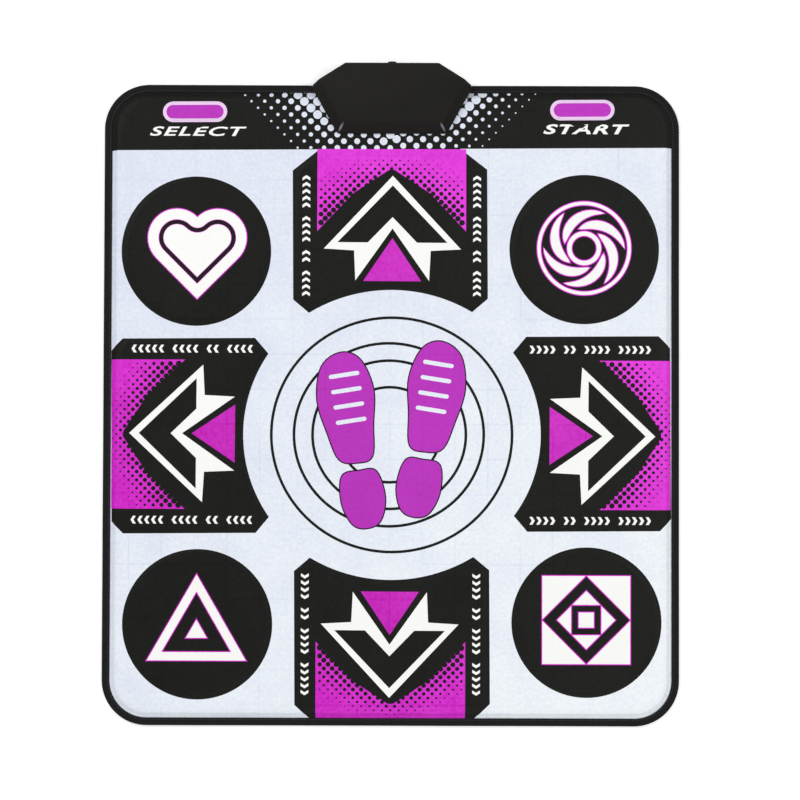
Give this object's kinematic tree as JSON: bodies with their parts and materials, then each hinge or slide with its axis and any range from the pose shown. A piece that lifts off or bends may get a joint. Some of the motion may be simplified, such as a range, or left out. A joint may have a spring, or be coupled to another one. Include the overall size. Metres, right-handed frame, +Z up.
{
  "type": "dance mat controller",
  "caption": "Flat foam-cored floor mat with arrow-shaped, round and capsule touch zones that sink under a foot, a bound edge and a moulded control box clamped to its top edge.",
  "frame": {"origin": "centre of the mat's underside, on the floor", "axes": "+Z up, +Y along the mat towards the control box, +X to the right of someone who faces the control box"},
  "size_m": [0.82, 0.9433, 0.027],
  "materials": {
    "printed_cover": "satin",
    "arrow_print": "satin",
    "disc_print": "satin",
    "binding": "matte",
    "underside": "matte",
    "foam": "matte",
    "sponge": "matte",
    "film": "satin",
    "contact": "matte",
    "case": "satin",
    "board": "satin",
    "chip": "matte",
    "can": "satin",
    "socket": "matte",
    "screw": "satin",
    "rubber": "matte"
  },
  "bodies": {
    "mat": {"bottom_cover": "underside", "cushion_foam": "foam", "lower_contact_film": "film", "spacer_foam": "foam", "top_cover": "printed_cover", "edge_binding": "binding", "up_sponge": "sponge", "down_sponge": "sponge", "left_sponge": "sponge", "right_sponge": "sponge", "upper_left_sponge": "sponge", "upper_right_sponge": "sponge", "lower_left_sponge": "sponge", "lower_right_sponge": "sponge", "select_sponge": "sponge", "start_sponge": "sponge", "lower_case": "case", "upper_case": "case", "case_screw_front_left": "screw", "case_screw_front_right": "screw", "case_screw_rear_left": "screw", "case_screw_rear_right": "screw", "circuit_board": "board", "controller_chip": "chip", "crystal": "can", "capacitor": "can", "cable_socket": "socket", "tail_clamp_bar": "case", "pressure_strip": "rubber", "clamp_screw_left": "screw", "clamp_screw_right": "screw", "cable_grommet": "rubber"},
    "up_zone": {"up_pad": "arrow_print", "up_contact": "contact"},
    "down_zone": {"down_pad": "arrow_print", "down_contact": "contact"},
    "left_zone": {"left_pad": "arrow_print", "left_contact": "contact"},
    "right_zone": {"right_pad": "arrow_print", "right_contact": "contact"},
    "upper_left_zone": {"upper_left_pad": "disc_print", "upper_left_contact": "contact"},
    "upper_right_zone": {"upper_right_pad": "disc_print", "upper_right_contact": "contact"},
    "lower_left_zone": {"lower_left_pad": "disc_print", "lower_left_contact": "contact"},
    "lower_right_zone": {"lower_right_pad": "disc_print", "lower_right_contact": "contact"},
    "select_zone": {"select_pad": "arrow_print", "select_contact": "contact"},
    "start_zone": {"start_pad": "arrow_print", "start_contact": "contact"}
  },
  "joints": [
    {"name": "up_press", "type": "slide", "parent": "mat", "child": "up_zone", "axis": [0, 0, -1], "range_m": [0, 0.0016], "stiffness_N_per_m": 3000, "springref_m": -0.0005, "deforming": ["up_sponge"]},
    {"name": "down_press", "type": "slide", "parent": "mat", "child": "down_zone", "axis": [0, 0, -1], "range_m": [0, 0.0016], "stiffness_N_per_m": 3000, "springref_m": -0.0005, "deforming": ["down_sponge"]},
    {"name": "left_press", "type": "slide", "parent": "mat", "child": "left_zone", "axis": [0, 0, -1], "range_m": [0, 0.0016], "stiffness_N_per_m": 3000, "springref_m": -0.0005, "deforming": ["left_sponge"]},
    {"name": "right_press", "type": "slide", "parent": "mat", "child": "right_zone", "axis": [0, 0, -1], "range_m": [0, 0.0016], "stiffness_N_per_m": 3000, "springref_m": -0.0005, "deforming": ["right_sponge"]},
    {"name": "upper_left_press", "type": "slide", "parent": "mat", "child": "upper_left_zone", "axis": [0, 0, -1], "range_m": [0, 0.0016], "stiffness_N_per_m": 3000, "springref_m": -0.0005, "deforming": ["upper_left_sponge"]},
    {"name": "upper_right_press", "type": "slide", "parent": "mat", "child": "upper_right_zone", "axis": [0, 0, -1], "range_m": [0, 0.0016], "stiffness_N_per_m": 3000, "springref_m": -0.0005, "deforming": ["upper_right_sponge"]},
    {"name": "lower_left_press", "type": "slide", "parent": "mat", "child": "lower_left_zone", "axis": [0, 0, -1], "range_m": [0, 0.0016], "stiffness_N_per_m": 3000, "springref_m": -0.0005, "deforming": ["lower_left_sponge"]},
    {"name": "lower_right_press", "type": "slide", "parent": "mat", "child": "lower_right_zone", "axis": [0, 0, -1], "range_m": [0, 0.0016], "stiffness_N_per_m": 3000, "springref_m": -0.0005, "deforming": ["lower_right_sponge"]},
    {"name": "select_press", "type": "slide", "parent": "mat", "child": "select_zone", "axis": [0, 0, -1], "range_m": [0, 0.0016], "stiffness_N_per_m": 1000, "springref_m": -0.0005, "deforming": ["select_sponge"]},
    {"name": "start_press", "type": "slide", "parent": "mat", "child": "start_zone", "axis": [0, 0, -1], "range_m": [0, 0.0016], "stiffness_N_per_m": 1000, "springref_m": -0.0005, "deforming": ["start_sponge"]}
  ]
}
